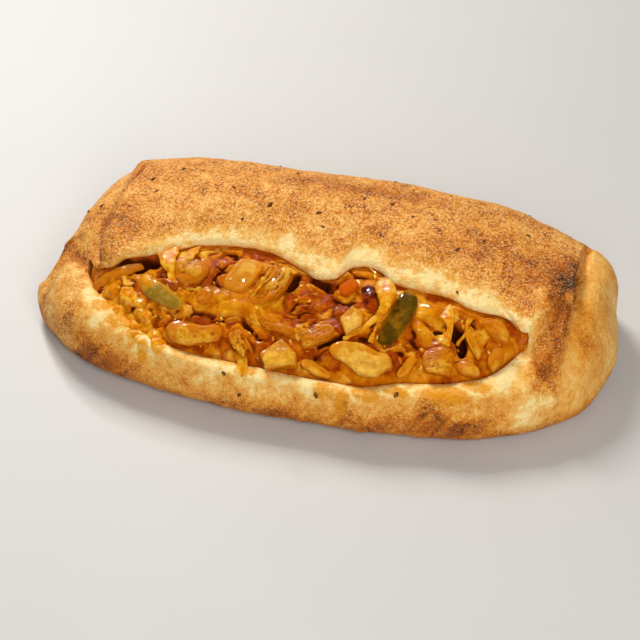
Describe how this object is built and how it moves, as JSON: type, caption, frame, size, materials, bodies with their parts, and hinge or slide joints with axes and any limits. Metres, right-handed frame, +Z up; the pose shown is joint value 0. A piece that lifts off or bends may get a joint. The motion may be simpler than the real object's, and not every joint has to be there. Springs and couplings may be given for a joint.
{
  "type": "stromboli",
  "caption": "Baked stromboli: a long roll of browned dough, open along its front on a saucy filling of chicken, onion, green pepper and melted cheese.",
  "frame": {"origin": "middle of the roll's plan, on the flat underside it rests on", "axes": "+X along the roll towards its plain right end, +Z up; the open side faces -Y"},
  "size_m": [0.2633, 0.1274, 0.0583],
  "materials": {
    "crust": "matt, floury, browned in patches",
    "sauce": "wet gloss of oil, sauce and melted cheese",
    "chicken": "moist, coated in sauce",
    "onion": "glossy, slightly see-through",
    "green_pepper": "glossy cooked skin",
    "red_pepper": "glossy, coated in sauce",
    "charred": "scorched, rough and oily"
  },
  "bodies": {
    "root": {"dough": "crust", "filling": "sauce", "onion_square": "onion", "chicken_shredded": "chicken", "chicken_round": "chicken", "pepper_left": "green_pepper", "chicken_pale": "chicken", "chicken_diced": "chicken", "chicken_ragged": "chicken", "chicken_small": "chicken", "chicken_strand": "chicken", "chicken_long": "chicken", "onion_cube": "onion", "charred_bit": "charred", "orange_bit": "red_pepper", "pepper_dark": "green_pepper", "onion_big": "onion", "onion_long": "onion", "onion_clear": "onion", "chicken_flat": "chicken", "onion_strip": "onion", "chicken_right": "chicken", "chicken_end": "chicken", "chicken_low": "chicken"}
  },
  "joints": []
}
